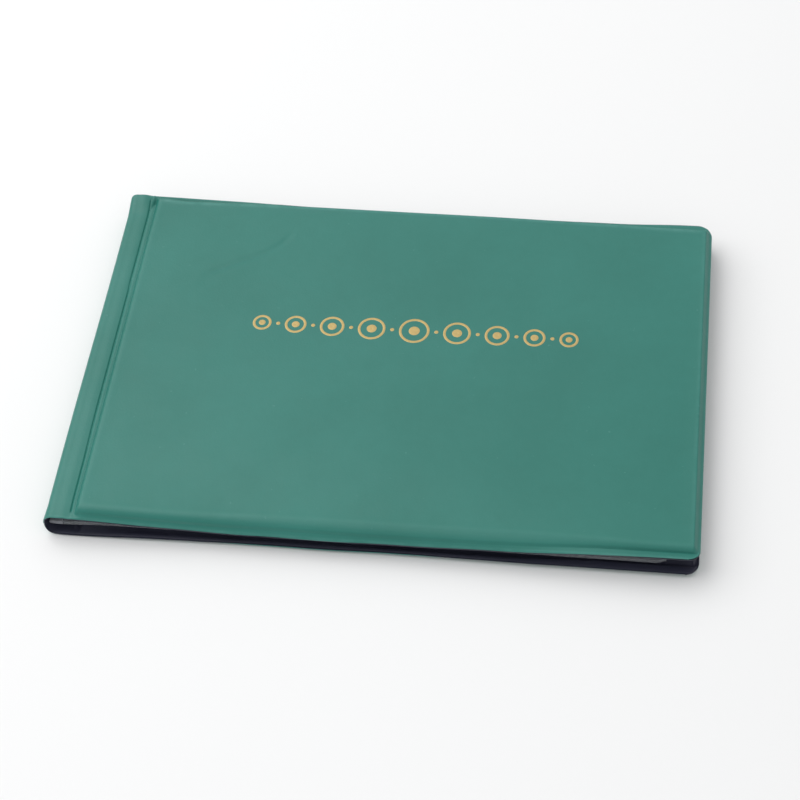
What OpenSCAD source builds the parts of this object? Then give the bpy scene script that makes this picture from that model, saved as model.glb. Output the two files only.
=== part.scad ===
// Soft vinyl coin album, closed, lying on its back cover.
// Two padded covers are joined by an unstiffened vinyl spine fold.
// Ten clear leaves with coin pockets are welded together at the fold.
// Frame: mm, origin under the middle of the closed album.
// +X points from the spine fold to the fore edge, +Y to the head, +Z up.

/* [Cover] */
// Distance from the spine fold to the fore edge
album_w = 210; // [180:1:240]
// Distance from the tail edge to the head edge
album_d = 140; // [120:1:170]
// Thickness of the coloured outer vinyl
vinyl_t = 0.25; // [0.2:0.05:0.3]
// Thickness of the dark inner vinyl
liner_t = 0.25; // [0.2:0.05:0.3]
// Height of the padded panel above the welded flange
panel_rise = 2; // [1.8:0.1:2.4]
// Thickness of the stiffening board in each cover
board_t = 1.6; // [1.2:0.1:1.8]
// Corner radius of the cover at the fore edge
fore_corner_r = 5; // [3:0.5:10]
// Corner radius of the padded panel
panel_corner_r = 4; // [3:0.5:8]

/* [Padded panel] */
// Margin beside the spine fold, measured to the top of the panel
spine_margin = 10.4; // [9.8:0.1:14]
// Margin at the fore edge
fore_margin = 2.6; // [2.2:0.1:5]
// Margin at the head
head_margin = 3; // [2.4:0.1:6]
// Margin at the tail
tail_margin = 5; // [4.6:0.1:9]
// Run of the panel's slope at the spine side
spine_slope = 1.7; // [1:0.1:2]
// Run of the panel's slope at the fore edge
fore_slope = 0.9; // [0.5:0.1:1.2]
// Run of the panel's slope at the head
head_slope = 1.1; // [0.6:0.1:1.4]
// Run of the panel's slope at the tail
tail_slope = 2.7; // [1.4:0.1:2.8]

/* [Spine] */
// Outer radius of each bend of the spine fold
fold_r = 2; // [1.5:0.1:2.5]
// Distance from the fold to the pressed weld line
groove_at = 8; // [7.5:0.1:8.2]
// Width of the pressed weld line
groove_w = 0.7; // [0.5:0.1:0.9]
// Depth of the pressed weld line
groove_depth = 0.1; // [0.06:0.02:0.14]
// Distance from each end of the weld line to the cover's edge
groove_end = 4.5; // [3:0.5:8]

/* [Leaves] */
// Spacing of the leaves in the closed album
leaf_pitch = 0.7; // [0.65:0.01:0.8]
// Thickness of each clear film
film_t = 0.12; // [0.1:0.01:0.13]
// Height of the empty coin pocket between two films
pocket_gap = 0.16; // [0.1:0.01:0.18]
// Distance from each end of a leaf to the edge of the cover
leaf_inset = 3.3; // [2:0.1:8]
// Distance from the leaf's outer edge to the fore edge
leaf_short = 9.5; // [8:0.5:14]
// Corner radius of a leaf
leaf_corner_r = 4; // [2:0.5:6]
// Distance from the fold to the first pocket
pocket_start = 17; // [14:0.5:22]
// Width of each welded seam
weld_w = 1.6; // [1:0.1:2.4]
// Radius of the thumb notch in each pocket
notch_r = 7; // [5:0.5:9]

/* [Foil ornament] */
// Distance of the row from the middle of the cover towards the head
foil_y = 13.5; // [0:0.5:30]
// Offset of the row towards the fore edge
foil_x = 5.5; // [0:0.5:8]
// Outer diameter of the middle ring
ring_big = 10.5; // [9:0.5:12]
// Difference in diameter from each ring to the next one out
ring_step = 1; // [0.4:0.1:1.2]
// Width of the ring's line
ring_line = 0.9; // [0.6:0.1:1.2]
// Free space between neighbouring rings
ring_gap = 4.7; // [3.5:0.1:6]
// Diameter of the dot between two rings
dot_d = 1.4; // [1:0.1:2]

/* [Hidden] */
leaf_count = 10;
pocket_cols = 4;
pocket_rows = 3;
ring_side = 4;
ring_core = 0.36;
foil_t = 0.04;
foil_sink = 0.06;
leaf_gap = leaf_pitch * leaf_count;
leaf_t = 2 * film_t + pocket_gap;
leaf_d = album_d - 2 * leaf_inset;
x_fold = -album_w / 2;
x_fore = album_w / 2;
x_bend = x_fold + fold_r;
z_back = panel_rise;
z_back_in = z_back + vinyl_t + liner_t;
z_front_in = z_back_in + leaf_gap;
z_front = z_front_in + liner_t + vinyl_t;
z_top = z_front + panel_rise;
shell_in = vinyl_t + liner_t;
x_pivot = x_fold + 4.6;
x_leaf = x_pivot + 1.2;
x_leaf_end = x_fore - leaf_short;
x_root = x_fold + 3;
stub_in = 0.15;
seam_in = 0.8;
row_gap = 1.8;
board_in = 1.6;
pocket_x0 = x_fold + pocket_start;
pocket_x1 = x_leaf_end - seam_in;
pocket_w = (pocket_x1 - pocket_x0) / pocket_cols;
row_d = leaf_d / pocket_rows;
eps = 0.01;
green = [0.31, 0.53, 0.5];
dark = [0.1, 0.11, 0.15];
card = [0.62, 0.58, 0.5];
clear_film = [0.8, 0.83, 0.85, 0.45];
clear_weld = [0.7, 0.74, 0.77, 0.6];
gold = [0.78, 0.66, 0.42];

// Height of the middle of leaf n, counted from the front cover down.
function leaf_z(n) = z_front_in - (n - 0.5) * leaf_pitch;
// Diameter of the k-th foil ring out from the middle one.
function ring_d(k) = ring_big - ring_step * k;
// Distance of the k-th ring's centre from the middle, with equal gaps.
function ring_x(k) = k * (ring_big + ring_gap) - ring_step * k * k / 2;
// Distance of the dot outside the k-th ring from the middle.
function dot_x(k) = ring_x(k) + ring_d(k) / 2 + ring_gap / 2;

// Plan rectangle from corner a to corner b with rounded corners.
module round_rect(a, b, r) {
  union() {
    translate([a[0] + r, a[1]]) square([b[0] - a[0] - 2 * r, b[1] - a[1]]);
    translate([a[0], a[1] + r]) square([b[0] - a[0], b[1] - a[1] - 2 * r]);
    for (x = [a[0] + r, b[0] - r])
      for (y = [a[1] + r, b[1] - r])
        translate([x, y]) circle(r, $fn = 40);
  }
}

// Cover outline in plan: square at the bend, rounded at the fore edge.
module cover_plan() {
  d = album_d / 2;
  r = fore_corner_r;
  union() {
    translate([x_bend, -d]) square([x_fore - r - x_bend, album_d]);
    translate([x_bend, r - d]) square([x_fore - x_bend, album_d - 2 * r]);
    for (s = [-1, 1])
      translate([x_fore - r, s * (d - r)]) circle(r, $fn = 48);
  }
}

// Cross-section of the padded panel along X, at inset t from its surface.
module panel_side_x(t) {
  polygon([
    [x_fold + spine_margin - spine_slope + t, z_front - vinyl_t - t],
    [x_fore - fore_margin + fore_slope - t, z_front - vinyl_t - t],
    [x_fore - fore_margin - t, z_top - t],
    [x_fold + spine_margin + t, z_top - t]
  ]);
}

// Cross-section of the padded panel along Y, at inset t from its surface.
module panel_side_y(t) {
  d = album_d / 2;
  polygon([
    [tail_margin - tail_slope - d + t, z_front - vinyl_t - t],
    [d - head_margin + head_slope - t, z_front - vinyl_t - t],
    [d - head_margin - t, z_top - t],
    [tail_margin - d + t, z_top - t]
  ]);
}

// Rounded plan limit of the padded panel, at inset t.
module panel_plan(t) {
  d = album_d / 2;
  a = [x_fold + spine_margin - spine_slope + t, tail_margin - tail_slope - d + t];
  b = [x_fore - fore_margin + fore_slope - t, d - head_margin + head_slope - t];
  round_rect(a, b, panel_corner_r);
}

// Solid padded panel with sloping sides, at inset t from its surface.
module panel_solid(t) {
  intersection() {
    rotate([90, 0, 0])
      linear_extrude(2 * album_d, center = true) panel_side_x(t);
    rotate([90, 0, 90])
      linear_extrude(2 * album_w, center = true) panel_side_y(t);
    translate([0, 0, z_front - vinyl_t - 1])
      linear_extrude(panel_rise + vinyl_t + 2) panel_plan(t);
  }
}

// Outer vinyl of one cover: welded flange and hollow padded panel.
module cover_skin() {
  difference() {
    union() {
      translate([0, 0, z_front - vinyl_t])
        linear_extrude(vinyl_t) cover_plan();
      panel_solid(0);
    }
    panel_solid(vinyl_t);
    weld_groove();
  }
}

// Pressed weld line beside the spine fold.
module weld_groove() {
  translate([
    x_fold + groove_at - groove_w / 2,
    groove_end - album_d / 2,
    z_front - groove_depth
  ])
    cube([groove_w, album_d - 2 * groove_end, 1]);
}

// Inner vinyl of one cover, flat and welded to the flange.
module cover_liner() {
  translate([0, 0, z_front_in])
    linear_extrude(liner_t) cover_plan();
}

// Stiffening board that lies inside the padded panel.
module cover_board() {
  d = album_d / 2;
  a = [x_fold + spine_margin + board_in, tail_margin - d + board_in];
  b = [x_fore - fore_margin - board_in, d - head_margin - board_in];
  translate([0, 0, z_front - vinyl_t])
    linear_extrude(board_t) round_rect(a, b, panel_corner_r - 1);
}

// Turns a front cover piece into the matching back cover piece.
module to_back() {
  translate([0, 0, z_top]) mirror([0, 0, 1]) children();
}

// One stamped ring with a smaller ring inside it, thickness t.
module foil_ring(d, t) {
  union() {
    difference() {
      cylinder(h = t, d = d, $fn = 48);
      translate([0, 0, -1]) cylinder(h = t + 2, d = d - 2 * ring_line, $fn = 48);
    }
    cylinder(h = t, d = d * ring_core, $fn = 32);
  }
}

// Row of stamped rings and dots on the front panel, thickness t, sunk by s.
module foil_row(t, s) {
  translate([foil_x, foil_y, z_top - s]) {
    foil_ring(ring_big, t);
    for (side = [-1, 1]) {
      for (k = [1 : ring_side])
        translate([side * ring_x(k), 0, 0]) foil_ring(ring_d(k), t);
      for (k = [0 : ring_side - 1])
        translate([side * dot_x(k), 0, 0]) cylinder(h = t, d = dot_d, $fn = 24);
    }
  }
}

// Fold outline filled to the bend, at inset t from the outer surface.
module fold_fill(t) {
  r = fold_r - t;
  union() {
    translate([x_fold + t, z_back + fold_r])
      square([r, z_front - z_back - 2 * fold_r]);
    for (z = [z_back + fold_r, z_front - fold_r])
      intersection() {
        translate([x_bend, z]) circle(r, $fn = 64);
        translate([x_fold, z_back]) square([fold_r, z_front - z_back]);
      }
  }
}

// One layer of the fold between insets t0 and t1.
module fold_layer(t0, t1) {
  rotate([90, 0, 0])
    linear_extrude(album_d, center = true)
      difference() {
        fold_fill(t0);
        fold_fill(t1);
        translate([x_bend - eps, z_back + t1]) square([1, z_front - z_back - 2 * t1]);
      }
}

// Clear base film of leaf n, with rounded outer corners.
module leaf_sheet(n) {
  d = leaf_d / 2;
  r = leaf_corner_r;
  translate([0, 0, leaf_z(n) - leaf_t / 2])
    linear_extrude(film_t)
      union() {
        translate([x_leaf, -d]) square([x_leaf_end - r - x_leaf, leaf_d]);
        translate([x_leaf, r - d]) square([x_leaf_end - x_leaf, leaf_d - 2 * r]);
        for (s = [-1, 1])
          translate([x_leaf_end - r, s * (d - r)]) circle(r, $fn = 32);
      }
}

// Plan of one row of pocket film, row k from the tail, with thumb notches.
module row_plan(k) {
  y0 = k * row_d - leaf_d / 2 + seam_in;
  y1 = y0 + row_d - row_gap;
  r = leaf_corner_r - seam_in;
  difference() {
    round_rect([pocket_x0, y0], [pocket_x1, y1], r);
    for (c = [0 : pocket_cols - 1])
      translate([pocket_x0 + (c + 0.5) * pocket_w, y1]) circle(notch_r, $fn = 32);
  }
}

// Pocket films and welded seams of leaf n.
module leaf_pockets(n) {
  z0 = leaf_z(n) - leaf_t / 2 + film_t;
  for (k = [0 : pocket_rows - 1]) {
    y0 = k * row_d - leaf_d / 2 + seam_in;
    union() {
      translate([0, 0, z0 + pocket_gap])
        linear_extrude(film_t) row_plan(k);
      translate([pocket_x0 + 4, y0, z0])
        cube([pocket_x1 - pocket_x0 - 8, weld_w, pocket_gap + film_t / 2]);
      for (c = [0 : pocket_cols])
        translate([
          pocket_x0 + (pocket_w - weld_w / pocket_cols) * c,
          y0 + leaf_corner_r,
          z0
        ])
          cube([weld_w, row_d - row_gap - 2 * leaf_corner_r, pocket_gap + film_t / 2]);
    }
  }
}

module front_cover_skin() {
  color(green)
    difference() {
      cover_skin();
      foil_row(1, foil_sink);
    }
}

module front_board() {
  color(card) cover_board();
}

module front_liner() {
  color(dark) cover_liner();
}

module cover_foil() {
  color(gold) foil_row(foil_t, foil_sink);
}

module spine_skin() {
  color(green) fold_layer(0, vinyl_t);
}

module spine_liner() {
  color(dark) fold_layer(vinyl_t, shell_in);
}

// Welded roots of all the leaves, with a short stub for each leaf.
module page_binding() {
  d = leaf_d / 2;
  color(clear_weld)
    union() {
      rotate([90, 0, 0])
        linear_extrude(leaf_d, center = true)
          fold_fill(shell_in);
      translate([x_bend - eps, -d, z_back_in + stub_in])
        cube([x_root - x_bend + eps, leaf_d, leaf_gap - 2 * stub_in]);
      for (n = [1 : leaf_count])
        translate([x_root - eps, -d, leaf_z(n) - leaf_t / 2])
          cube([x_pivot - x_root + eps, leaf_d, leaf_t]);
    }
}

module back_cover_skin() {
  color(green) to_back() cover_skin();
}

module back_board() {
  color(card) to_back() cover_board();
}

module back_liner() {
  color(dark) to_back() cover_liner();
}

module page_01_sheet() { color(clear_film) leaf_sheet(1); }
module page_01_pockets() { color(clear_weld) leaf_pockets(1); }
module page_02_sheet() { color(clear_film) leaf_sheet(2); }
module page_02_pockets() { color(clear_weld) leaf_pockets(2); }
module page_03_sheet() { color(clear_film) leaf_sheet(3); }
module page_03_pockets() { color(clear_weld) leaf_pockets(3); }
module page_04_sheet() { color(clear_film) leaf_sheet(4); }
module page_04_pockets() { color(clear_weld) leaf_pockets(4); }
module page_05_sheet() { color(clear_film) leaf_sheet(5); }
module page_05_pockets() { color(clear_weld) leaf_pockets(5); }
module page_06_sheet() { color(clear_film) leaf_sheet(6); }
module page_06_pockets() { color(clear_weld) leaf_pockets(6); }
module page_07_sheet() { color(clear_film) leaf_sheet(7); }
module page_07_pockets() { color(clear_weld) leaf_pockets(7); }
module page_08_sheet() { color(clear_film) leaf_sheet(8); }
module page_08_pockets() { color(clear_weld) leaf_pockets(8); }
module page_09_sheet() { color(clear_film) leaf_sheet(9); }
module page_09_pockets() { color(clear_weld) leaf_pockets(9); }
module page_10_sheet() { color(clear_film) leaf_sheet(10); }
module page_10_pockets() { color(clear_weld) leaf_pockets(10); }

front_cover_skin();
front_board();
front_liner();
cover_foil();
spine_skin();
spine_liner();
page_binding();
back_cover_skin();
back_board();
back_liner();
page_01_sheet();
page_01_pockets();
page_02_sheet();
page_02_pockets();
page_03_sheet();
page_03_pockets();
page_04_sheet();
page_04_pockets();
page_05_sheet();
page_05_pockets();
page_06_sheet();
page_06_pockets();
page_07_sheet();
page_07_pockets();
page_08_sheet();
page_08_pockets();
page_09_sheet();
page_09_pockets();
page_10_sheet();
page_10_pockets();
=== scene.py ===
"""Looks of the soft vinyl coin album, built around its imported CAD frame.

Lengths are in millimetres until a mesh is made, and +X points from the spine
fold to the fore edge, +Y to the head and +Z up, as in the CAD model.
"""

import math

import bpy
import numpy as np
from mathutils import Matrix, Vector


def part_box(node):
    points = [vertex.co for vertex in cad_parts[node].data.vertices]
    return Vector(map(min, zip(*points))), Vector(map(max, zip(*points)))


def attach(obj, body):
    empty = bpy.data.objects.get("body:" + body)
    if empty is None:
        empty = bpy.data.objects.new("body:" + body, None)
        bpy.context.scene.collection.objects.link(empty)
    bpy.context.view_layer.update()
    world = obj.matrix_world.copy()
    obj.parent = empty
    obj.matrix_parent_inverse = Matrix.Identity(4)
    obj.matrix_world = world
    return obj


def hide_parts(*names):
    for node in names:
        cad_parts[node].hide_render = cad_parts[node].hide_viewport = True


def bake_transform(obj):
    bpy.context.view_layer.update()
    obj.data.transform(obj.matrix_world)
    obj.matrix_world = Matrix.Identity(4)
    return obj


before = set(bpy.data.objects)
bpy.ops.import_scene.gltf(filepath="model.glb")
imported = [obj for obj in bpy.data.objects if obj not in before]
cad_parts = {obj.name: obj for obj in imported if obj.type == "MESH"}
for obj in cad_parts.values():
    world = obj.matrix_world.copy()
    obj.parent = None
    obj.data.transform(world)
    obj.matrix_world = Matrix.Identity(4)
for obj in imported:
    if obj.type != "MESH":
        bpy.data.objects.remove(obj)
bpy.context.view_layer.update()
MM = 0.001


def node_box(name):
    """Lowest and highest corner of a CAD node in millimetres."""
    low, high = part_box(name)
    return np.array(low) / MM, np.array(high) / MM


# ---------------------------------------------------------------- sizes
COVER_LOW, COVER_HIGH = node_box("front_cover_skin")
FOLD_LOW, FOLD_HIGH = node_box("spine_skin")
SHEET_LOW, SHEET_HIGH = node_box("page_01_sheet")
X_FOLD = FOLD_LOW[0]
X_FORE = COVER_HIGH[0]
HALF_D = COVER_HIGH[1]
Z_TOP = COVER_HIGH[2]
Z_FLANGE = FOLD_HIGH[2]
Z_BACK = FOLD_LOW[2]
LENGTH = X_FORE - X_FOLD
RISE = Z_TOP - Z_FLANGE
SKIN = 0.25
CORNER_HEAD = 5.0
CORNER_TAIL = 3.9
CORNER_BACK = 4.2

# padded panel: where its flat ends and how wide its sides are
RIDGE_SPINE = X_FOLD + 11.1
RIDGE_FORE = X_FORE - 2.25
RUN_SPINE = 2.0
RUN_FORE = 2.25
RUN_HEAD = 1.4
SHARP_CORNER = 5.0
ROUND_CORNER = 2.0
LIP = 0.07

# pressed weld line beside the spine, and the rim along the cut edge
GROOVE_X = X_FOLD + 7.9
GROOVE_DEPTH = 0.34
GROOVE_HALF = 0.42
BEAD = 0.1

# sag of the front cover at its tail edge
TAIL_BEND = 1.43
BEND_START = -38.0
BEND_RUN = 28.0

# soft fold of the spine, a boxy bulge between the covers
FOLD_Z = 5.0
FOLD_OUT = 1.0
FOLD_FLARE = 0.55
FOLD_LOW_Z = 0.12
FOLD_POWER = 2.8
X_TOP = X_FOLD + 2.6
X_LOW = X_FOLD + 3.7

# clear leaves, their pockets and their welded roots
LEAVES = 10
PITCH = 0.7
LEAF_HALF_D = SHEET_HIGH[1]
LEAF_END = SHEET_HIGH[0]
LEAF_R = 4.0
FILM = 0.12
POCKET = 0.16
POCKET_X0 = X_FOLD + 17.0
POCKET_X1 = LEAF_END - 0.8
POCKET_COLS = 4
POCKET_ROWS = 3
SEAM_W = 1.6
NOTCH_R = 7.0
Z_LEAF_LOW = Z_BACK + 2 * SKIN
Z_LEAF_HIGH = Z_FLANGE - 2 * SKIN
PACKED_SHARE = 0.28
ROOT_FAT = 0.34
ROOT_TIP = -100.9


# ---------------------------------------------------------------- mesh tools
def smooth(t):
    """Smooth step of t from 0 to 1."""
    t = np.clip(t, 0.0, 1.0)
    return t * t * (3.0 - 2.0 * t)


def hump(t):
    """Bell curve of t, 1 at 0."""
    return np.exp(-t * t)


def soft_min(a, b, k):
    """Smaller of a and b, rounded over a width k."""
    h = np.clip(0.5 + 0.5 * (b - a) / k, 0.0, 1.0)
    return b * (1.0 - h) + a * h - k * h * (1.0 - h)


def steps(*parts):
    """Joined runs of numbers: each part is (start, stop, rough step)."""
    values = []
    for start, stop, step in parts:
        count = max(1, int(math.ceil(abs(stop - start) / step)))
        values.extend(np.linspace(start, stop, count, endpoint=False))
    values.append(parts[-1][1])
    return np.array(values)


def grid_normals(points, sign):
    """Unit normals of a grid of points."""
    du = np.gradient(points, axis=0)
    dv = np.gradient(points, axis=1)
    n = np.cross(du, dv) * sign
    return n / np.maximum(np.linalg.norm(n, axis=2, keepdims=True), 1e-12)


def new_object(name, verts, faces, materials, face_slots=None, wear_and_highlight=None, sharp_deg=38.0):
    """Mesh object in metres, smooth shaded, with its rest positions kept."""
    mesh = bpy.data.meshes.new(name)
    verts = np.asarray(verts, float) * MM
    mesh.from_pydata(verts.tolist(), [], faces)
    for material in materials:
        mesh.materials.append(material)
    if face_slots is not None:
        mesh.polygons.foreach_set("material_index", np.asarray(face_slots, np.int32))
    rest = mesh.attributes.new("rest", "FLOAT_VECTOR", "POINT")
    rest.data.foreach_set("vector", verts.astype(np.float32).ravel())
    # Optional lightening per point: rubbed wear and painted highlights.
    if wear_and_highlight is not None:
        worn = mesh.attributes.new("wear_and_highlight", "FLOAT", "POINT")
        worn.data.foreach_set("value", np.asarray(wear_and_highlight, np.float32).ravel())
    mesh.polygons.foreach_set("use_smooth", np.ones(len(mesh.polygons), bool))
    mesh.validate()
    mesh.update()
    mesh.set_sharp_from_angle(angle=math.radians(sharp_deg))
    obj = bpy.data.objects.new(name, mesh)
    bpy.context.scene.collection.objects.link(obj)
    return obj


def shell(outer, inner, sign, base=0):
    """Vertices and faces of a closed sheet between two matching grids."""
    n, m = outer.shape[:2]
    verts = np.concatenate([outer.reshape(-1, 3), inner.reshape(-1, 3)])
    top = np.arange(n * m).reshape(n, m) + base
    low = top + n * m
    faces = []
    slots = []

    def quad(a, b, c, d, slot):
        faces.append((a, b, c, d) if sign > 0 else (d, c, b, a))
        slots.append(slot)

    for i in range(n - 1):
        for j in range(m - 1):
            quad(top[i, j], top[i + 1, j], top[i + 1, j + 1], top[i, j + 1], 0)
            quad(low[i, j], low[i, j + 1], low[i + 1, j + 1], low[i + 1, j], 0)
    for i in range(n - 1):
        quad(top[i, 0], low[i, 0], low[i + 1, 0], top[i + 1, 0], 1)
        quad(top[i, m - 1], top[i + 1, m - 1], low[i + 1, m - 1], low[i, m - 1], 1)
    for j in range(m - 1):
        quad(top[0, j], top[0, j + 1], low[0, j + 1], low[0, j], 1)
        quad(top[n - 1, j], low[n - 1, j], low[n - 1, j + 1], top[n - 1, j + 1], 1)
    return verts, faces, slots


# ---------------------------------------------------------------- materials
def material(name):
    """New node material and its Principled shader."""
    mat = bpy.data.materials.new(name)
    mat.use_nodes = True
    return mat, mat.node_tree, mat.node_tree.nodes["Principled BSDF"]


def add(tree, kind, **values):
    """New node with its properties and numbered or named inputs set."""
    node = tree.nodes.new(kind)
    for key, value in values.items():
        if key.startswith("in_"):
            slot = key[3:].replace("_", " ")
            node.inputs[int(slot) if slot.isdigit() else slot].default_value = value
        else:
            setattr(node, key, value)
    return node


def rest_coords(tree):
    """Socket with the piece's rest position, the same at every pose."""
    return add(tree, "ShaderNodeAttribute", attribute_name="rest").outputs["Vector"]


def noise(tree, coords, scale, detail=3.0, roughness=0.5):
    """Noise texture in cycles per metre, its value from 0 to 1."""
    node = add(tree, "ShaderNodeTexNoise", in_Scale=scale, in_Detail=detail, in_Roughness=roughness)
    tree.links.new(coords, node.inputs["Vector"])
    return node.outputs["Fac"]


def ramp(tree, value, low, high, start=0.0, stop=1.0):
    """Value mapped from start..stop to low..high."""
    node = add(tree, "ShaderNodeMapRange", in_1=start, in_2=stop, in_3=low, in_4=high)
    tree.links.new(value, node.inputs[0])
    return node.outputs[0]


def mix_colour(tree, factor, a, b):
    """Colour between a and b by a factor socket."""
    node = tree.nodes.new("ShaderNodeMix")
    node.data_type = "RGBA"
    tree.links.new(factor, node.inputs[0])
    for socket, value in ((node.inputs[6], a), (node.inputs[7], b)):
        if isinstance(value, tuple):
            socket.default_value = (*value, 1.0)
        else:
            tree.links.new(value, socket)
    return node.outputs[2]


def bump(tree, height, distance, strength, before=None):
    """Bump normal from a height socket, added to an earlier bump."""
    node = add(tree, "ShaderNodeBump", in_Strength=strength, in_Distance=distance)
    tree.links.new(height, node.inputs["Height"])
    if before is not None:
        tree.links.new(before, node.inputs["Normal"])
    return node.outputs["Normal"]


def vinyl(name, light, dark, worn, rough_low, rough_high, grain):
    """Soft calendered vinyl: mottled colour, rubbed edges and painted highlights, uneven gloss, fine
    grain.
    """
    mat, tree, bsdf = material(name)
    link = tree.links.new
    at = rest_coords(tree)
    spread = add(tree, "ShaderNodeMath", operation="MULTIPLY_ADD", in_1=0.35)
    link(noise(tree, at, 240.0, 4.0, 0.6), spread.inputs[0])
    link(noise(tree, at, 28.0, 3.0), spread.inputs[2])
    base = mix_colour(tree, ramp(tree, spread.outputs[0], -0.45, 1.2), light, dark)
    # Wear attribute: mixes towards the worn colour, partly rubbed wear and partly painted highlight
    # along crests, rims and the weld line.
    wear_and_highlight = add(tree, "ShaderNodeAttribute", attribute_name="wear_and_highlight").outputs["Fac"]
    rubbed_and_highlit = add(tree, "ShaderNodeMath", operation="MULTIPLY")
    link(wear_and_highlight, rubbed_and_highlit.inputs[0])
    link(ramp(tree, noise(tree, at, 160.0, 4.0, 0.65), 0.25, 1.0, 0.3, 0.7), rubbed_and_highlit.inputs[1])
    specks = ramp(tree, noise(tree, at, 520.0, 2.0, 0.4), 0.0, 0.5, 0.74, 0.8)
    marks = add(tree, "ShaderNodeMath", operation="MAXIMUM")
    link(rubbed_and_highlit.outputs[0], marks.inputs[0])
    link(specks, marks.inputs[1])
    link(mix_colour(tree, marks.outputs[0], base, worn), bsdf.inputs["Base Color"])
    gloss = ramp(tree, noise(tree, at, 90.0, 5.0, 0.6), rough_low, rough_high)
    link(gloss, bsdf.inputs["Roughness"])
    cells = add(tree, "ShaderNodeTexVoronoi", in_Scale=1500.0, in_Randomness=1.0)
    cells.feature = "SMOOTH_F1"
    link(at, cells.inputs["Vector"])
    normal = bump(tree, cells.outputs["Distance"], 0.00006, grain)
    normal = bump(tree, noise(tree, at, 420.0, 4.0, 0.6), 0.00012, 0.35, normal)
    normal = bump(tree, noise(tree, at, 45.0, 2.0), 0.0009, 0.12, normal)
    link(normal, bsdf.inputs["Normal"])
    bsdf.inputs["IOR"].default_value = 1.5
    return mat


# The third colour is the lighter worn tone; it shows both rubbed wear and painted highlights along the
# crest, the rim and the weld line.
GREEN = vinyl(
    "green_vinyl", (0.019, 0.186, 0.15), (0.012, 0.158, 0.124), (0.055, 0.235, 0.2), 0.38, 0.52, 0.35
)
# The cut edges get a lighter copy of the green: a painted highlight of the lit cut edge.
GREEN_EDGE_HIGHLIT = vinyl(
    "green_vinyl_cut_edge_highlit", (0.06, 0.25, 0.215), (0.045, 0.22, 0.19), (0.08, 0.28, 0.24), 0.4, 0.5, 0.1
)
BLACK = vinyl(
    "black_vinyl", (0.034, 0.036, 0.06), (0.024, 0.026, 0.046), (0.048, 0.051, 0.078), 0.34, 0.46, 0.3
)


def film_material(name, colour, alpha, roughness):
    """Clear soft film: faint ripples and a slightly uneven gloss."""
    mat, tree, bsdf = material(name)
    link = tree.links.new
    at = rest_coords(tree)
    bsdf.inputs["Base Color"].default_value = (*colour, 1.0)
    bsdf.inputs["Alpha"].default_value = alpha
    bsdf.inputs["IOR"].default_value = 1.53
    link(ramp(tree, noise(tree, at, 70.0, 3.0), roughness, roughness + 0.1), bsdf.inputs["Roughness"])
    normal = bump(tree, noise(tree, at, 55.0, 2.0), 0.0007, 0.25)
    normal = bump(tree, noise(tree, at, 600.0, 3.0), 0.00004, 0.2, normal)
    link(normal, bsdf.inputs["Normal"])
    return mat


CLEAR = film_material("clear_film", (0.62, 0.67, 0.69), 0.16, 0.1)
EDGE = film_material("clear_film_edge", (0.5, 0.51, 0.56), 0.85, 0.3)


def seam_material():
    """Heat-welded seam: cloudier film with a pressed rib pattern."""
    mat, tree, bsdf = material("welded_seam")
    link = tree.links.new
    at = rest_coords(tree)
    bsdf.inputs["Base Color"].default_value = (0.5, 0.54, 0.56, 1.0)
    bsdf.inputs["Alpha"].default_value = 0.42
    bsdf.inputs["IOR"].default_value = 1.53
    link(ramp(tree, noise(tree, at, 300.0, 2.0), 0.22, 0.36), bsdf.inputs["Roughness"])
    ribs = add(tree, "ShaderNodeTexWave", in_Scale=190.0, in_Distortion=0.2)
    ribs.bands_direction = "DIAGONAL"
    link(at, ribs.inputs["Vector"])
    link(bump(tree, ribs.outputs["Fac"], 0.00008, 0.6), bsdf.inputs["Normal"])
    return mat


SEAM = seam_material()


def foil_material():
    """Hot-stamped gold foil with a satin, slightly worn surface."""
    mat, tree, bsdf = material("gold_foil")
    link = tree.links.new
    at = rest_coords(tree)
    bsdf.inputs["Metallic"].default_value = 0.6
    worn = noise(tree, at, 900.0, 5.0, 0.7)
    link(mix_colour(tree, worn, (0.57, 0.42, 0.17), (0.43, 0.32, 0.13)), bsdf.inputs["Base Color"])
    link(ramp(tree, noise(tree, at, 700.0, 4.0), 0.42, 0.6), bsdf.inputs["Roughness"])
    link(bump(tree, noise(tree, at, 1400.0, 3.0), 0.00004, 0.4), bsdf.inputs["Normal"])
    return mat


FOIL = foil_material()


def board_material():
    """Grey stiffening board with pressed fibres."""
    mat, tree, bsdf = material("greyboard")
    link = tree.links.new
    at = add(tree, "ShaderNodeTexCoord").outputs["Object"]
    fibres = noise(tree, at, 1300.0, 6.0, 0.7)
    link(mix_colour(tree, fibres, (0.3, 0.28, 0.25), (0.46, 0.43, 0.38)), bsdf.inputs["Base Color"])
    bsdf.inputs["Roughness"].default_value = 0.9
    link(bump(tree, fibres, 0.0001, 0.5), bsdf.inputs["Normal"])
    return mat


BOARD = board_material()


# ---------------------------------------------------------------- cover shape
def along(x):
    """Bow of an edge along the cover: 0 at its ends, 1 in the middle."""
    return np.sin(np.pi * np.clip((x - X_FOLD) / LENGTH, 0.0, 1.0))


def edge_profile(t):
    """Side of the padded panel from foot to crest: tiny foot fillet, round crest."""
    foot, crest = 0.08, 0.78
    m = 1.0 / (1.0 - crest / 2.0 - foot / 2.0)
    t = np.clip(t, 0.0, 1.0)
    low = m * t * t / (2.0 * foot)
    mid = m * (t - foot / 2.0)
    top = 1.0 - m * (1.0 - t) ** 2 / (2.0 * crest)
    return np.where(t < foot, low, np.where(t < 1.0 - crest, mid, top))


def fore_profile(t):
    """Side of the panel at the fore edge: crisp crest, then flattening outwards."""
    return soft_min(1.0, 1.08 * np.clip(t, 0.0, 1.0) ** 1.5, 0.12)


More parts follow.
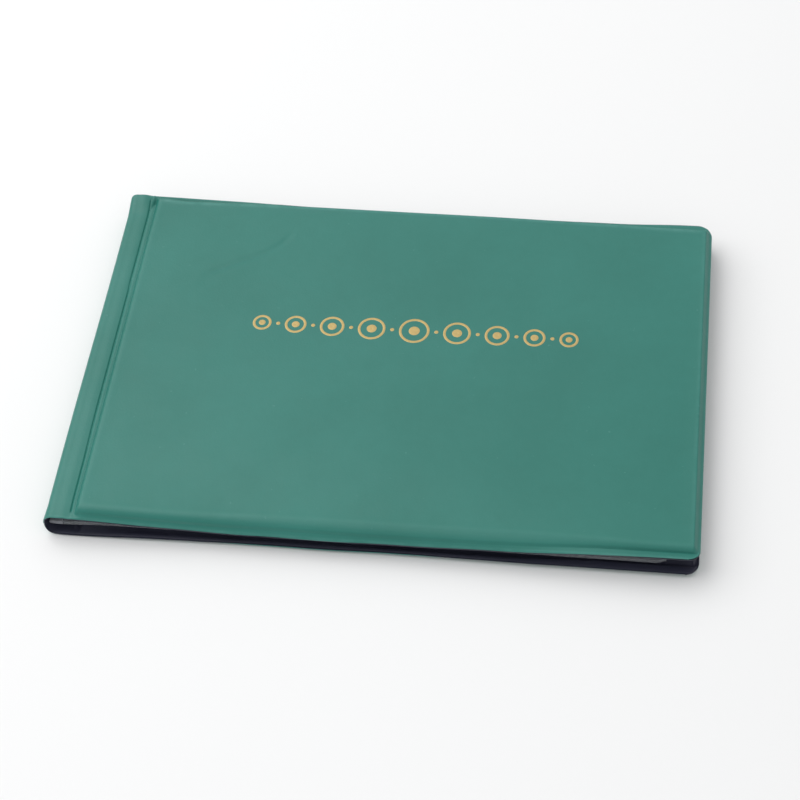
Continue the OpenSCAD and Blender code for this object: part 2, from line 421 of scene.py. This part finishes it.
def tail_foot(x):
    """Foot of the panel's tail slope, a little further in near the fore edge."""
    return 1.1 - HALF_D + 1.1 * smooth((x - 40.0) / 40.0)


def tail_run(x):
    """Width of the panel's tail slope, widest in the middle of the cover."""
    return 2.8 + 1.3 * smooth((x + 75.0) / 65.0) - 2.2 * smooth((x - 40.0) / 55.0)


def ridge_head(x):
    """Where the flat of the panel ends at the head, furthest out in the middle."""
    corner = 0.6 * (1.0 - smooth((x + 93.0) / 9.0))
    return HALF_D - 2.8 + corner + 0.6 * smooth((x + 88.0) / 60.0) - 1.8 * smooth((x - 10.0) / 95.0)


def panel_share(x, y):
    """0 on the flange, 1 on the flat of the panel."""
    run = tail_run(x)
    side_fore = np.maximum((x - RIDGE_FORE) / RUN_FORE, 0.0)
    side_x = np.maximum((RIDGE_SPINE - x) / RUN_SPINE, side_fore)
    side_y = np.maximum((tail_foot(x) + run - y) / run, (y - ridge_head(x)) / RUN_HEAD)
    mitre = np.where(x < 0.0, SHARP_CORNER, ROUND_CORNER)
    reach = (side_x ** mitre + np.maximum(side_y, 0.0) ** mitre) ** (1.0 / mitre)
    fore = side_fore / np.maximum(reach, 1e-6)
    return edge_profile(1.0 - reach) * (1.0 - fore) + fore_profile(1.0 - reach) * fore


def crest_sides(x, y):
    """Distances inwards from the panel's crest line: spine, fore edge, tail and head."""
    spine, fore = x - RIDGE_SPINE, RIDGE_FORE - x
    return np.stack([spine, fore, y - tail_foot(x) - tail_run(x), ridge_head(x) - y])


def crest_distance(x, y):
    """Distance from the panel's crest line, positive on the flat of the panel."""
    return crest_sides(x, y).min(axis=0)


def crease_line(count=12):
    """Points along the soft diagonal fold, a curve that steepens at both ends."""
    t = np.linspace(0.0, 1.0, count)[:, None]
    start, stop = np.array((-74.0, 30.0)), np.array((-42.4, 57.6))
    near_start, near_stop = np.array((-64.0, 42.5)), np.array((-46.0, 41.5))
    outer = (1.0 - t) ** 3 * start + t ** 3 * stop
    return outer + 3.0 * t * (1.0 - t) * ((1.0 - t) * near_start + t * near_stop)


CREASE = crease_line()


def crease(x, y):
    """Soft diagonal fold pressed into the front panel."""
    best = np.full(x.shape, 1e9)
    place = np.zeros(x.shape)
    side = np.zeros(x.shape)
    total = len(CREASE) - 1
    for k in range(total):
        a, b = CREASE[k], CREASE[k + 1]
        d = b - a
        t = np.clip(((x - a[0]) * d[0] + (y - a[1]) * d[1]) / (d @ d), 0.0, 1.0)
        px, py = x - a[0] - t * d[0], y - a[1] - t * d[1]
        dist = np.hypot(px, py)
        near = dist < best
        best = np.where(near, dist, best)
        place = np.where(near, (k + t) / total, place)
        side = np.where(near, np.sign(d[0] * py - d[1] * px), side)
    signed = best * side
    fade = np.minimum(1.0, 1.8 * np.sin(np.pi * np.clip(place, 0.0, 1.0)))
    return fade * (0.08 * hump(signed / 3.5) - 0.36 * hump(signed / 1.1))


def undulation(x, y, phase):
    """Very shallow waves of soft vinyl over a board."""
    a = np.sin(x / 19.0 + 0.8 + phase) * np.sin(y / 14.0 + 1.9 * phase)
    b = np.sin(x / 31.0 - y / 23.0 + 2.2 * phase)
    c = np.sin(x / 11.0 + y / 27.0 + 0.5)
    return 0.035 * a + 0.04 * b + 0.012 * c


def groove(x, y):
    """Depth of the pressed weld line beside the spine, which has one small jog."""
    shift = -0.35 * smooth((y + 48.0) / 22.0) - 0.22 * smooth((y - 28.5) / 1.6)
    valley = hump((x - GROOVE_X - shift) / (GROOVE_HALF * 0.62))
    ends = smooth((HALF_D - 1.4 - y) / 1.2) * smooth((y + HALF_D - 1.8) / 1.2)
    return GROOVE_DEPTH * valley * ends


def strip_crown(x):
    """Slight crown of the soft strip between the fold and the weld line."""
    t = np.clip((x - X_TOP) / (GROOVE_X - X_TOP), 0.0, 1.0)
    return 0.18 * np.sin(np.pi * t) ** 2


def band_crown(x):
    """Slight crown of the narrow band between the weld line and the panel."""
    t = np.clip((x - GROOVE_X) / (RIDGE_SPINE - RUN_SPINE - GROOVE_X), 0.0, 1.0)
    return 0.1 * np.sin(np.pi * t)


def sag_share(x):
    """Where along the cover its tail edge hangs: not at the corners, most in the middle."""
    return smooth((x + 108.0) / 62.0) * smooth((105.0 - x) / 110.0)


def bend(x, y):
    """Slow bend of the whole front cover down towards its tail edge."""
    return TAIL_BEND * sag_share(x) * smooth((BEND_START - y) / BEND_RUN)


def tail_hang(x, y):
    """Extra drop of the tail slope, of its foot, of the flange and of the soft strip's end."""
    run = tail_run(x)
    slope = 1.0 - edge_profile(1.0 - (tail_foot(x) + run - y) / run)
    step = 0.3 + 0.4 * sag_share(x)
    foot = step * (1.0 - smooth((y - tail_foot(x)) / run / 0.25))
    extra = 0.6 * sag_share(x) - 0.7
    flange = np.clip((tail_foot(x) - y) / (tail_foot(x) + HALF_D), 0.0, 1.0)
    tilt = 1.25 - 1.5 * smooth((x - 30.0) / 70.0)
    strip = 1.0 - smooth((x - GROOVE_X) / 5.0)
    droop = 1.0 * np.clip((9.0 - HALF_D - y) / 9.0, 0.0, 1.0) ** 2
    return (extra * slope + foot + tilt * flange) * (1.0 - strip) + droop * strip


def head_lift(x, y):
    """Head edge of the front cover: raised at the spine, hanging a little in the middle."""
    height = 1.5 - 2.4 * smooth((x + 112.0) / 110.0) + 0.9 * smooth((x - 72.0) / 25.0)
    height = height + 0.4 * hump((x + 101.4) / 3.0)
    reach = 8.0 - 5.0 * smooth((x - GROOVE_X + 1.0) / 2.4)
    return height * smooth((y - HALF_D + reach) / reach)


def fore_drop(x):
    """Rounded drop of the flange at the fore edge."""
    return 0.4 * np.clip((x - X_FORE + 1.6) / 1.6, 0.0, 1.0)


def front_z(x, y):
    """Outer surface of the front cover."""
    share = panel_share(x, y)
    rise = RISE + undulation(x, y, 0.0) + crease(x, y)
    lip = LIP * hump((crest_distance(x, y) - 0.6) / 1.1)
    crowns = (strip_crown(x) + band_crown(x)) * (1.0 - share)
    drop = bend(x, y) + tail_hang(x, y) + fore_drop(x) - head_lift(x, y)
    return Z_FLANGE + rise * share + lip + crowns - groove(x, y) - drop


def back_flange(x):
    """Height of the back cover's flange, which sinks to the table by the spine."""
    return 0.15 + 0.75 * smooth((x + 95.0) / 22.0) + 0.8 * smooth((x + 45.0) / 110.0)


def back_z(x, y):
    """Outer surface of the back cover, which faces down."""
    share = panel_share(x, y)
    flat = 0.06 + 0.5 * undulation(x, y, 1.3)
    return flat * share + back_flange(x) * (1.0 - share) + groove(x, y)


def fore_limit(upper, y):
    """Cover outline at the fore edge, with its rounded corners."""
    radius = np.where(y > 0.0, CORNER_HEAD, CORNER_TAIL) if upper else CORNER_BACK
    over = np.clip(np.abs(y) - (HALF_D - radius), 0.0, radius)
    return X_FORE - radius + np.sqrt(np.maximum(radius ** 2 - over ** 2, 0.0))


def back_tail(x, y, low=1.0):
    """How far the back cover's tail edge reaches out by the spine."""
    return 0.5 * low * hump((y + HALF_D) / 1.5) * (1.0 - smooth((x + 98.0) / 60.0))


def cover_plan(upper, xs, ys):
    """Plan positions of a cover grid in its rounded outline, and their distance from it."""
    x, y = np.meshgrid(xs, ys, indexing="ij")
    start = X_FORE - 14.0
    share = np.clip((x - start) / (X_FORE - start), 0.0, 1.0)
    x = np.where(x > start, start + share * (fore_limit(upper, y) - start), x)
    inset = np.minimum(HALF_D - np.abs(y), fore_limit(upper, y) - x)
    wave = 0.1 * np.sin(x / 13.0) + 0.06 * np.sin(x / 5.1 + 1.0)
    near = np.clip((np.abs(y) - HALF_D + 3.0) / 3.0, 0.0, 1.0) ** 2
    return x, y + near * wave * along(x), inset


def bead(inset):
    """Raised rim that the welding tool leaves along the cut edge."""
    return BEAD * hump((inset - 0.4) / 0.32) - 0.05 * hump(inset / 0.12)


# Lighter crest line per side (spine, fore edge, tail, head): painted highlight with some wear,
# strongest at the head.
CREST_HIGHLIGHT_AND_WEAR = np.array([0.25, 0.45, 0.2, 1.0])


def cover_wear_and_highlight(x, y, inset):
    """Where the vinyl is painted lighter, part rubbed wear and part painted highlight: crest line, rim
    and weld lines.
    """
    near = np.exp(-np.abs(crest_sides(x, y)))
    strength = np.tensordot(CREST_HIGHLIGHT_AND_WEAR, near, 1) / near.sum(axis=0)
    # Crest line, cut-edge rim and the line beside the weld groove are each lightened: painted
    # highlight with some wear.
    crest = strength * hump((crest_distance(x, y) - 0.35) / 0.7)
    rim_wear_and_highlight = 0.7 * hump((inset - 0.25) / 0.4)
    fold_line_wear_and_highlight = 0.2 * hump((x - GROOVE_X - 1.0) / 0.35)
    return np.clip(np.maximum(crest, np.maximum(rim_wear_and_highlight, fold_line_wear_and_highlight)), 0.0, 1.0)


EDGE_ANGLES = np.radians(np.arange(6.0, 91.0, 6.0))
EDGE_ROWS = HALF_D - CORNER_HEAD + CORNER_HEAD * np.sin(EDGE_ANGLES)
ROWS = np.unique(np.round(np.concatenate([
    -EDGE_ROWS,
    steps((-HALF_D, -69.0, 0.13), (-69.0, -63.0, 0.2), (-63.0, -61.0, 0.6), (-61.0, 33.0, 3.2)),
    steps((33.0, 65.0, 0.9), (65.0, 69.0, 0.22), (69.0, HALF_D, 0.13)),
    EDGE_ROWS,
]), 3))
COLUMNS = steps(
    (X_TOP, GROOVE_X - 1.0, 0.4),
    (GROOVE_X - 1.0, GROOVE_X + 1.0, 0.1),
    (GROOVE_X + 1.0, RIDGE_SPINE + 1.0, 0.14),
    (RIDGE_SPINE + 1.0, -84.0, 1.2),
    (-84.0, -32.0, 0.9),
    (-32.0, RIDGE_FORE - 1.5, 3.2),
    (RIDGE_FORE - 1.5, X_FORE - 1.0, 0.18),
    (X_FORE - 1.0, X_FORE, 0.13),
)


def fold_path(upper, count=34):
    """Half of the bulging fold, a boxy quarter turn from its outermost point to a cover."""
    end_x, end_z = (X_TOP, Z_FLANGE) if upper else (X_LOW, FOLD_LOW_Z)
    wide = end_x - X_FOLD + FOLD_OUT
    tall = abs(end_z - FOLD_Z)
    turn = (1.0 - np.cos(np.linspace(0.0, math.pi, count))) * math.pi / 4.0
    x = end_x - wide * np.cos(turn) ** (2.0 / FOLD_POWER)
    z = FOLD_Z + math.copysign(tall, end_z - FOLD_Z) * np.sin(turn) ** (2.0 / FOLD_POWER)
    return np.stack([x, z], axis=1)


def fold_grid(upper, ys):
    """Sweep of half the fold along the spine, following the cover that it joins."""
    path = fold_path(upper)
    x = np.repeat(path[:-1, :1], len(ys), axis=1)
    z = np.repeat(path[:-1, 1:], len(ys), axis=1)
    end_x, end_z = path[-1]
    ends = cover_z(upper, np.full(len(ys), end_x), ys, HALF_D - np.abs(ys))
    share = (z - FOLD_Z) / (end_z - FOLD_Z)
    z = z + smooth(share) * (ends - end_z)[None, :]
    wide = end_x - X_FOLD + FOLD_OUT
    tuck = np.where(ys > 0.0, 0.6, 0.2) * np.clip((end_x - x) / wide, 0.0, 1.0) ** 2
    y = np.repeat(ys[None, :], len(x), axis=0)
    flare = FOLD_FLARE * smooth((-64.0 - y) / 6.0) * (1.0 if not upper else 1.0 - share ** 2)
    x = x - flare * (end_x - x) / wide
    if not upper:
        y = y - back_tail(x, y, smooth(share))
    y = y * (1.0 - tuck / HALF_D)
    x = x + 0.12 * np.sin(y / 21.0) * (end_x - x) / wide
    return np.stack([x, y, z], axis=2)


def cover_z(upper, x, y, inset):
    """Outer surface of a cover with its rim, the front one or the back one."""
    if upper:
        return front_z(x, y) + bead(inset)
    return back_z(x, y) - bead(inset)


def cover_columns(upper):
    """Grid lines along the cover, from the end of the fold to the fore edge."""
    if upper:
        return COLUMNS
    return np.concatenate([[X_LOW], COLUMNS[COLUMNS > X_LOW + 0.2]])


def skin_grid(upper):
    """Outer surface grid of one half of the green vinyl, and its rubbing and painted highlights."""
    fold = fold_grid(upper, ROWS)
    x, y, inset = cover_plan(upper, cover_columns(upper), ROWS)
    z = cover_z(upper, x, y, inset)
    if not upper:
        y = y - back_tail(x, y)
    cover = np.stack([x, y, z], axis=2)
    # Lighter rim along the cut ends of the fold: painted highlight with some wear.
    rim_wear_and_highlight = np.repeat((0.4 * hump((HALF_D - np.abs(ROWS) - 0.25) / 0.4))[None, :], len(fold), axis=0)
    return np.concatenate([fold, cover]), np.concatenate([rim_wear_and_highlight, cover_wear_and_highlight(x, y, inset)])


def bend_over(piece, upper):
    """Bakes a sheet's placement into its mesh, the same for either cover."""
    if upper:
        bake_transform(piece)
    else:
        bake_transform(piece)


def make_skin(name, upper, replaced):
    """One half of the green outer vinyl, from the fold's middle outwards."""
    sign = 1.0 if upper else -1.0
    outer, wear_and_highlight = skin_grid(upper)
    inner = outer - SKIN * grid_normals(outer, sign)
    verts, faces, slots = shell(outer, inner, sign)
    # Painted highlight and wear only on the outer face; the inner face stays plain.
    wear_and_highlight = np.concatenate([wear_and_highlight.ravel(), 0.0 * wear_and_highlight.ravel()])
    skin = new_object(name, verts, faces, [GREEN, GREEN_EDGE_HIGHLIT], slots, wear_and_highlight)
    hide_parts(*replaced)
    bend_over(skin, upper)


make_skin("front_vinyl", True, ("front_cover_skin", "spine_skin"))
make_skin("back_vinyl", False, ("back_cover_skin",))


# ---------------------------------------------------------------- linings
def slope_gap(z, x, y):
    """Vertical room that a sheet of the skin's thickness takes on a slope."""
    dz = np.gradient(z, axis=1) / np.gradient(y, axis=1)
    dx = np.gradient(z, axis=0) / np.gradient(x, axis=0)
    return SKIN * np.sqrt(1.0 + np.minimum(dz ** 2 + dx ** 2, 4.0)) + 0.02


def lining_z(upper, x, y, inset):
    """Outer surface of a black lining: flat under the board, welded to the flange."""
    z = cover_z(upper, x, y, inset)
    gap = slope_gap(z, x, y)
    if upper:
        return soft_min(z - gap, Z_FLANGE - SKIN - bend(x, y), 0.1)
    inward = smooth(panel_share(x, np.maximum(y, -50.0)) / 0.9)
    flat = inward * smooth((y + HALF_D - 0.3) / 6.3)
    return (z + gap) * (1.0 - flat) + (Z_BACK + SKIN) * flat


def lining_reach(x):
    """How far the back lining stands out past the green vinyl at the tail."""
    return 0.3 - 0.45 * smooth((x + 58.0) / 22.0) * smooth((34.0 - x) / 25.0)


def make_lining(name, upper, replaced):
    """Black inner vinyl of one cover, reaching round its half of the fold."""
    sign = 1.0 if upper else -1.0
    fold = fold_grid(upper, ROWS)
    x, y, inset = cover_plan(upper, cover_columns(upper), ROWS)
    z = lining_z(upper, x, y, inset)
    outside = cover_z(upper, x, y, inset)
    near_tail = np.clip((3.0 - HALF_D - y) / 3.0, 0.0, 1.0)
    if upper:
        y = y + 0.35 * np.clip((y - HALF_D + 3.0) / 3.0, 0.0, 1.0) + 0.12 * near_tail
    else:
        y = y - back_tail(x, y) - lining_reach(x) * near_tail
    skin = np.concatenate([fold, np.stack([x, y, outside], axis=2)])
    under = (skin - (SKIN + 0.02) * grid_normals(skin, sign))[:len(fold)]
    rise = np.clip((under[:, :, 2] - FOLD_Z) / (Z_FLANGE - FOLD_Z), 0.0, 1.0) if upper else 0.0
    under[:, :, 1] -= (0.3 - 0.42 * rise) * near_tail[:1]
    outer = np.concatenate([under, np.stack([x, y, z], axis=2)])
    inner = outer - SKIN * grid_normals(outer, sign)
    verts, faces, slots = shell(outer, inner, sign)
    lining = new_object(name, verts, faces, [BLACK, BLACK], slots)
    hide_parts(*replaced)
    bend_over(lining, upper)


make_lining("front_lining", True, ("front_liner", "spine_liner"))
make_lining("back_lining", False, ("back_liner",))


def make_stiffener():
    """Stiffening board of the front cover, bent down with it at the tail."""
    low, high = node_box("front_board")
    corner = 3.0
    mid_x, half_x = (low[0] + high[0]) / 2.0, (high[0] - low[0]) / 2.0
    mid_y, half_y = (low[1] + high[1]) / 2.0, (high[1] - low[1]) / 2.0
    ys = mid_y + steps((-half_y, corner - half_y, 0.3), (corner - half_y, half_y - corner, 2.0),
                       (half_y - corner, half_y, 0.3))
    share, y = np.meshgrid(np.linspace(-1.0, 1.0, 81), ys, indexing="ij")
    over = np.clip(np.abs(y - mid_y) - half_y + corner, 0.0, corner)
    x = mid_x + share * (half_x - corner + np.sqrt(corner ** 2 - over ** 2))
    x = np.clip(x, RIDGE_SPINE + 0.4, RIDGE_FORE - 0.4)
    y = np.clip(y, 6.0 - HALF_D, HALF_D - 3.8)
    room = front_z(x, y) - 2.0 * SKIN
    under = low[2] - bend(x, y)
    above = np.maximum(np.minimum(high[2] - bend(x, y), room), under + 0.3)
    verts, faces, _ = shell(np.stack([x, y, above], axis=2), np.stack([x, y, under], axis=2), 1.0)
    board = new_object("front_stiffener", verts, faces, [BOARD])
    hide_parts("front_board")
    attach(board, "front_cover")


make_stiffener()


# ---------------------------------------------------------------- leaves
def leaf_z(n):
    """Height of the middle of leaf n at rest, counted from the front."""
    return Z_LEAF_HIGH - (n - 0.5) * PITCH


def leaf_lift(y, z):
    """Height of a leaf point once its free tail edge has settled on the back cover."""
    settled = smooth((27.0 - LEAF_HALF_D - y) / 24.0)
    packed = Z_LEAF_LOW + 0.06 + (z - Z_LEAF_LOW) * PACKED_SHARE
    return z + (packed - z) * settled


def leaf_shift(n, x):
    """Small skew of the stack of leaves, and of each leaf in it."""
    return 0.002 * (x - X_FOLD) - 0.8 - 0.65 * hump((x + 101.0) / 9.0) + 0.1 * math.sin(2.1 * n)


def leaf_root(z):
    """Where a leaf at height z leaves the welded block in the fold."""
    upper = z > FOLD_Z
    end_x, end_z = (X_TOP, Z_FLANGE) if upper else (X_LOW, FOLD_LOW_Z)
    wide = end_x - X_FOLD + FOLD_OUT - 2.2 * SKIN
    tall = abs(end_z - FOLD_Z) - 2.2 * SKIN
    level = min(1.0, abs(z - FOLD_Z) / tall)
    return end_x - wide * (1.0 - level ** FOLD_POWER) ** (1.0 / FOLD_POWER) + 0.1


def leaf_sheet(n):
    """Base film of one leaf as matching top and bottom grids."""
    z0 = leaf_z(n) - FILM - POCKET / 2.0
    xs = steps((-101.3, -97.5, 0.35), (-97.5, 88.0, 6.0), (88.0, LEAF_END, 0.5))
    over = LEAF_R * np.sin(np.radians(np.arange(9.0, 91.0, 9.0)))
    tips = LEAF_HALF_D - LEAF_R + over
    middle = steps((LEAF_R - LEAF_HALF_D, -40.0, 2.0), (-40.0, LEAF_HALF_D - LEAF_R, 6.0))
    ys = np.concatenate([-tips[::-1], middle, tips])
    x, y = np.meshgrid(xs, ys, indexing="ij")
    cut = np.clip(np.abs(y) - (LEAF_HALF_D - LEAF_R), 0.0, LEAF_R)
    limit = LEAF_END - LEAF_R + np.sqrt(np.maximum(LEAF_R ** 2 - cut ** 2, 0.0))
    start = LEAF_END - 7.5
    x = np.where(x > start, start + (x - start) / (LEAF_END - start) * (limit - start), x)
    low = leaf_lift(y, z0 + 0.0 * x)
    high = leaf_lift(y, z0 + FILM + 0.0 * x)
    y = y + leaf_shift(n, x)
    return np.stack([x, y, high], axis=2), np.stack([x, y, low], axis=2)


def pocket_columns(width):
    """Grid lines across the pockets: seams, pocket mouths and thumb notches."""
    near = [SEAM_W / 2.0, SEAM_W / 2.0 + 0.5, 4.0, 8.0, 11.5, 14.0]
    xs = [POCKET_X0, POCKET_X1]
    for c in range(POCKET_COLS):
        left = POCKET_X0 + c * width
        xs.extend(left + width / 2.0 - NOTCH_R * np.cos(np.radians(np.arange(0.0, 181.0, 12.0))))
        xs.extend(left + np.array(near))
        xs.extend(left + width - np.array(near))
    return np.unique(np.round(xs, 3))


def pocket_grids(n):
    """Three rows of pocket film of one leaf, each as a pair of grids."""
    z0 = leaf_z(n) - POCKET / 2.0
    row_d = 2.0 * LEAF_HALF_D / POCKET_ROWS
    width = (POCKET_X1 - POCKET_X0) / POCKET_COLS
    shares = np.concatenate([np.array([0.0, 0.03, 0.06, 0.1]), np.linspace(0.2, 1.0, 11)])
    made = []
    for k in range(POCKET_ROWS):
        y0 = -LEAF_HALF_D + k * row_d + 0.8
        y1 = y0 + row_d - 1.8
        x, share = np.meshgrid(pocket_columns(width), shares, indexing="ij")
        centre = POCKET_X0 + (np.floor((x - POCKET_X0) / width) + 0.5) * width
        away = np.abs(x - centre)
        top = y1 - np.sqrt(np.maximum(NOTCH_R ** 2 - away ** 2, 0.0))
        y = y0 + share * (top - y0)
        seam = np.minimum(np.mod(x - POCKET_X0, width), width - np.mod(x - POCKET_X0, width))
        open_x = smooth((seam - SEAM_W / 2.0) / 1.6)
        open_y = smooth((y - y0 - SEAM_W) / 1.8)
        puff = POCKET * open_x * open_y
        low = leaf_lift(y, z0 + puff + 0.005)
        high = leaf_lift(y, z0 + puff + FILM)
        reach = y - y0
        y = y + leaf_shift(n, x)
        made.append((np.stack([x, y, high], axis=2), np.stack([x, y, low], axis=2), seam, reach))
    return made


def make_base_film(n, body):
    """Base film of one leaf."""
    high, low = leaf_sheet(n)
    verts, faces, slots = shell(high, low, 1.0)
    sheet = new_object(f"{body}_base_film", verts, faces, [CLEAR, EDGE], slots)
    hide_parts(f"{body}_sheet")
    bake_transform(sheet)


def make_pocket_film(n, body):
    """Pocket films of one leaf with their cloudier welded seams."""
    verts, faces, slots, base = [], [], [], 0
    for top, under, seam, reach in pocket_grids(n):
        v, f, s = shell(top, under, 1.0, base)
        verts.append(v)
        faces.extend(f)
        across = (seam[:-1, :-1] + seam[1:, :-1]) / 2.0
        deep = (reach[:-1, :-1] + reach[:-1, 1:]) / 2.0
        welded = (across < SEAM_W / 2.0) | (deep < SEAM_W)
        count = (top.shape[0] - 1) * (top.shape[1] - 1)
        marks = np.array(s)
        marks[0:2 * count:2] = np.where(welded, 2, 0).ravel()
        slots.extend(marks.tolist())
        base += len(v)
    pockets = new_object(
        f"{body}_pocket_film", np.concatenate(verts), faces, [CLEAR, EDGE, SEAM], slots
    )
    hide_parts(f"{body}_pockets")
    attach(pockets, body)


for number in range(1, LEAVES + 1):
    make_base_film(number, f"page_{number:02d}")
    make_pocket_film(number, f"page_{number:02d}")


# ---------------------------------------------------------------- binding
def make_binding():
    """Welded roots of the leaves, stacked in the fold."""
    verts, faces, slots, base = [], [], [], 0
    ends = LEAF_HALF_D - 1.0
    ys = steps(
        (-LEAF_HALF_D, -ends, 0.25), (-ends, -38.0, 2.0), (-38.0, ends, 8.0), (ends, LEAF_HALF_D, 0.25)
    )
    for n in range(1, LEAVES + 1):
        z = leaf_z(n)
        root = leaf_root(z + (0.33 if z > FOLD_Z else -0.33))
        x, y = np.meshgrid(np.linspace(root, ROOT_TIP, 9), ys, indexing="ij")
        t = (x - root) / (ROOT_TIP - root)
        fat = ROOT_FAT - 0.13 * smooth((t - 0.3) / 0.7)
        thick = fat * (1.0 - 0.25 * smooth((np.abs(y) - LEAF_HALF_D + 0.8) / 0.8))
        high = leaf_lift(y, z + thick)
        low = leaf_lift(y, z - thick)
        y = y + leaf_shift(n, x)
        v, f, s = shell(np.stack([x, y, high], axis=2), np.stack([x, y, low], axis=2), 1.0, base)
        verts.append(v)
        faces.extend(f)
        slots.extend(s)
        base += len(v)
    obj = new_object("leaf_binding", np.concatenate(verts), faces, [SEAM, EDGE], slots)
    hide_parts("page_binding")
    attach(obj, "spine")


make_binding()


# ---------------------------------------------------------------- foil
RING_BIG = 10.5
RING_STEP = 1.0
RING_GAP = 4.7
RING_LINE = 0.9
RING_CORE = 0.36
RING_SIDE = 4
DOT_D = 1.4


def foil_band(cx, cy, r_in, r_out, turns, base):
    """Ring of foil laid on the front panel, or a disc when r_in is nearly 0."""
    turn = np.arange(turns) * 2.0 * math.pi / turns
    shares = np.array([0.0, 0.12, 0.5, 0.88, 1.0])
    lift = np.array([0.0, 0.03, 0.045, 0.03, 0.0])
    r, a = np.meshgrid(r_in + shares * (r_out - r_in), turn, indexing="ij")
    x, y = cx + r * np.cos(a), cy + r * np.sin(a)
    z = front_z(x, y)
    top = np.stack([x, y, z + lift[:, None]], axis=2)
    under = np.stack([x, y, z - 0.03], axis=2)
    n, m = x.shape
    up = np.arange(n * m).reshape(n, m) + base
    down = up + n * m
    faces = []
    for j in range(m):
        k = (j + 1) % m
        for i in range(n - 1):
            faces.append((up[i, j], up[i + 1, j], up[i + 1, k], up[i, k]))
            faces.append((down[i, j], down[i, k], down[i + 1, k], down[i + 1, j]))
        faces.append((up[0, j], up[0, k], down[0, k], down[0, j]))
        faces.append((up[-1, j], down[-1, j], down[-1, k], up[-1, k]))
    return np.concatenate([top.reshape(-1, 3), under.reshape(-1, 3)]), faces


def foil_marks(cx, cy):
    """Rings and dots of the ornament as (x, y, inner radius, outer radius)."""
    marks = []
    for k in range(-RING_SIDE, RING_SIDE + 1):
        size = abs(k)
        out = size * (RING_BIG + RING_GAP) - RING_STEP * size * size / 2.0
        x = cx + math.copysign(out, k)
        r = (RING_BIG - RING_STEP * size) / 2.0
        marks.append((x, cy, r - RING_LINE, r))
        marks.append((x, cy, 0.04, 2.0 * r * RING_CORE / 2.0))
        if size < RING_SIDE:
            dot = out + r + RING_GAP / 2.0
            for side in ((-1, 1) if k == 0 else (int(math.copysign(1, k)),)):
                marks.append((cx + side * dot, cy, 0.04, DOT_D / 2.0))
    return marks


def make_foil():
    """Row of stamped rings on the front panel, following its surface."""
    low, high = node_box("cover_foil")
    verts, faces, base = [], [], 0
    for x, y, r_in, r_out in foil_marks((low[0] + high[0]) / 2.0, (low[1] + high[1]) / 2.0):
        v, f = foil_band(x, y, r_in, r_out, 64 if r_out > 2.0 else 32, base)
        verts.append(v)
        faces.extend(f)
        base += len(v)
    obj = new_object("cover_ornament", np.concatenate(verts), faces, [FOIL])
    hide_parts("cover_foil")
    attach(obj, "front_cover")


make_foil()

back_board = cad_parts["back_board"]
back_board.data.materials.clear()
back_board.data.materials.append(BOARD)


# ---------------------------------------------------------------- stage
def make_floor():
    """Plain pale table top."""
    mat, tree, bsdf = material("pale_floor")
    at = add(tree, "ShaderNodeTexCoord").outputs["Object"]
    tone = noise(tree, at, 3.0, 2.0)
    colour = mix_colour(tree, tone, (0.86, 0.86, 0.855), (0.88, 0.88, 0.88))
    tree.links.new(colour, bsdf.inputs["Base Color"])
    bsdf.inputs["Roughness"].default_value = 0.75
    bsdf.inputs["Specular IOR Level"].default_value = 0.2
    half = 3000.0
    level = -0.02
    corners = [(x * half, y * half, level) for x, y in ((-1, -1), (1, -1), (1, 1), (-1, 1))]
    floor = new_object("floor", corners, [(0, 1, 2, 3)], [mat])


def make_light(name, place, size, power):
    """Soft studio lamp aimed at the middle of the table."""
    data = bpy.data.lights.new(name, "AREA")
    data.shape = "RECTANGLE"
    data.size, data.size_y = size
    data.energy = power
    lamp = bpy.data.objects.new(name, data)
    bpy.context.scene.collection.objects.link(lamp)
    lamp.location = place
    lamp.rotation_euler = (-Vector(place)).to_track_quat("-Z", "Y").to_euler()


def make_world():
    """Even pale surroundings."""
    world = bpy.data.worlds.new("studio")
    bpy.context.scene.world = world
    world.use_nodes = True
    back = world.node_tree.nodes["Background"]
    back.inputs["Color"].default_value = (0.98, 0.99, 1.0, 1.0)
    back.inputs["Strength"].default_value = 0.58


def make_camera():
    """Camera that looks down at the album from its tail edge."""
    data = bpy.data.cameras.new("camera")
    data.lens = 87.7
    data.sensor_width = 36.0
    data.shift_x = -0.025
    data.clip_start = 0.02
    data.clip_end = 20.0
    cam = bpy.data.objects.new("camera", data)
    bpy.context.scene.collection.objects.link(cam)
    cam.location = (0.08304, -0.40089, 0.52695)
    cam.rotation_euler = (0.64868, 0.05229, 0.11634)
    bpy.context.scene.camera = cam


make_floor()
make_world()
make_light("key", (-0.85, 0.25, 1.15), (1.5, 1.5), 14.4)
make_light("fill", (0.3, -0.5, 1.5), (1.6, 1.6), 3.0)
make_light("back", (-0.25, 1.25, 1.1), (1.5, 1.0), 2.6)
make_camera()
bpy.context.scene.view_settings.view_transform = "Standard"
